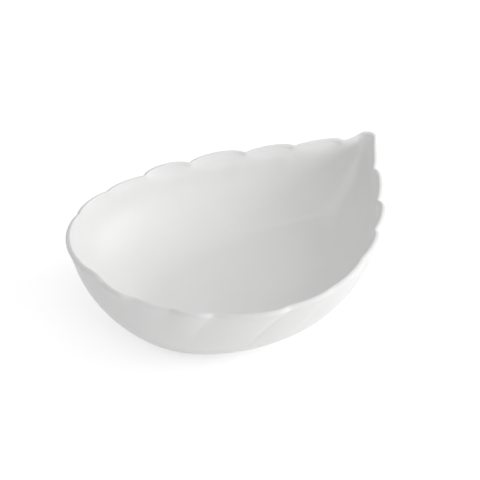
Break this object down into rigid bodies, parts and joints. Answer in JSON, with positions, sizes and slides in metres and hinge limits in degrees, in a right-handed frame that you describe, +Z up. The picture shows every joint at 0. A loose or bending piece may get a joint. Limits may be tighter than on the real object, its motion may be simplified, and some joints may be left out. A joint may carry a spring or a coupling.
{
  "type": "leaf shaped plate",
  "caption": "Deep leaf shaped dish with a scalloped rim, rounded lip, faint pleats below the notches and a low leaf shaped foot ring.",
  "frame": {"origin": "on the table, under the middle of the rim's box", "axes": "+X along the leaf from its stem end to its tip, +Y towards the side with the more finely scalloped rim, +Z up"},
  "size_m": [0.2072, 0.1456, 0.045],
  "materials": {
    "glaze": "soft gloss white glaze",
    "bare_foot": "bare fired clay, matt"
  },
  "bodies": {
    "root": {"leaf_bowl": "glaze", "foot_ring": "bare_foot"}
  },
  "joints": []
}
